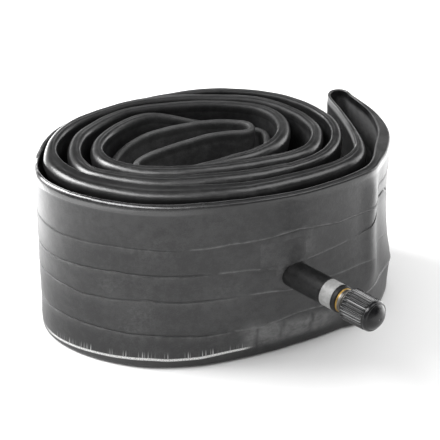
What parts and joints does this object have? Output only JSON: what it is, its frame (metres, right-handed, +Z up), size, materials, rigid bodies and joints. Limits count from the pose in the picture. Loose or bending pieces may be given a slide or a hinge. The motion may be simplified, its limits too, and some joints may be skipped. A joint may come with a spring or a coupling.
{
  "type": "bicycle inner tube",
  "caption": "New bicycle inner tube pressed flat and rolled up on its edge, with a rubber-covered tyre valve, valve core and screw-on dust cap.",
  "frame": {"origin": "on the ground in the middle of the roll, on the lower edge of the strand that passes there", "axes": "+Z up, along the flattened tube's width; the front of the roll, with the valve, faces -Y; +X to the right seen from the front"},
  "size_m": [0.1074, 0.0903, 0.057],
  "materials": {
    "butyl": "satin, slightly dusty",
    "patch_butyl": "satin",
    "stem_rubber": "satin",
    "band_ink": "plain printed band",
    "brass": "turned, nickel-washed where it shows",
    "core_brass": "turned",
    "seal_rubber": "moulded",
    "spring_steel": "wire",
    "gasket": "moulded",
    "cap_plastic": "fine moulded ribs"
  },
  "bodies": {
    "root": {"inner_tube": "butyl", "valve_patch": "patch_butyl", "stem_jacket": "stem_rubber", "stem_band": "band_ink", "stem_insert": "brass", "core_plug": "core_brass", "core_barrel": "core_brass", "core_gasket": "gasket", "core_spring": "spring_steel"},
    "valve_pin": {"core_pin": "core_brass", "core_cup": "core_brass", "core_seal": "seal_rubber"},
    "cap_seal": {"cap_seal": "seal_rubber"},
    "cap": {"dust_cap": "cap_plastic"}
  },
  "joints": [
    {"name": "cap_travel", "type": "slide", "parent": "root", "child": "cap_seal", "axis": [0.6842, -0.7272, 0.055], "range_m": [0, 0.0075]},
    {"name": "cap_turn", "type": "hinge", "parent": "cap_seal", "child": "cap", "pos_m": [0.04039, -0.04231, 0.03123], "axis": [0.6842, -0.7272, 0.055], "range_deg": [0, 3402]},
    {"name": "pin_press", "type": "slide", "parent": "root", "child": "valve_pin", "axis": [-0.6842, 0.7272, -0.055], "range_m": [0, 0.0015], "stiffness_N_per_m": 600, "deforming": ["core_spring"]}
  ],
  "couplings": [
    {"joint": "cap_turn", "follows": "cap_travel", "rad_per_m": 7915.8}
  ]
}
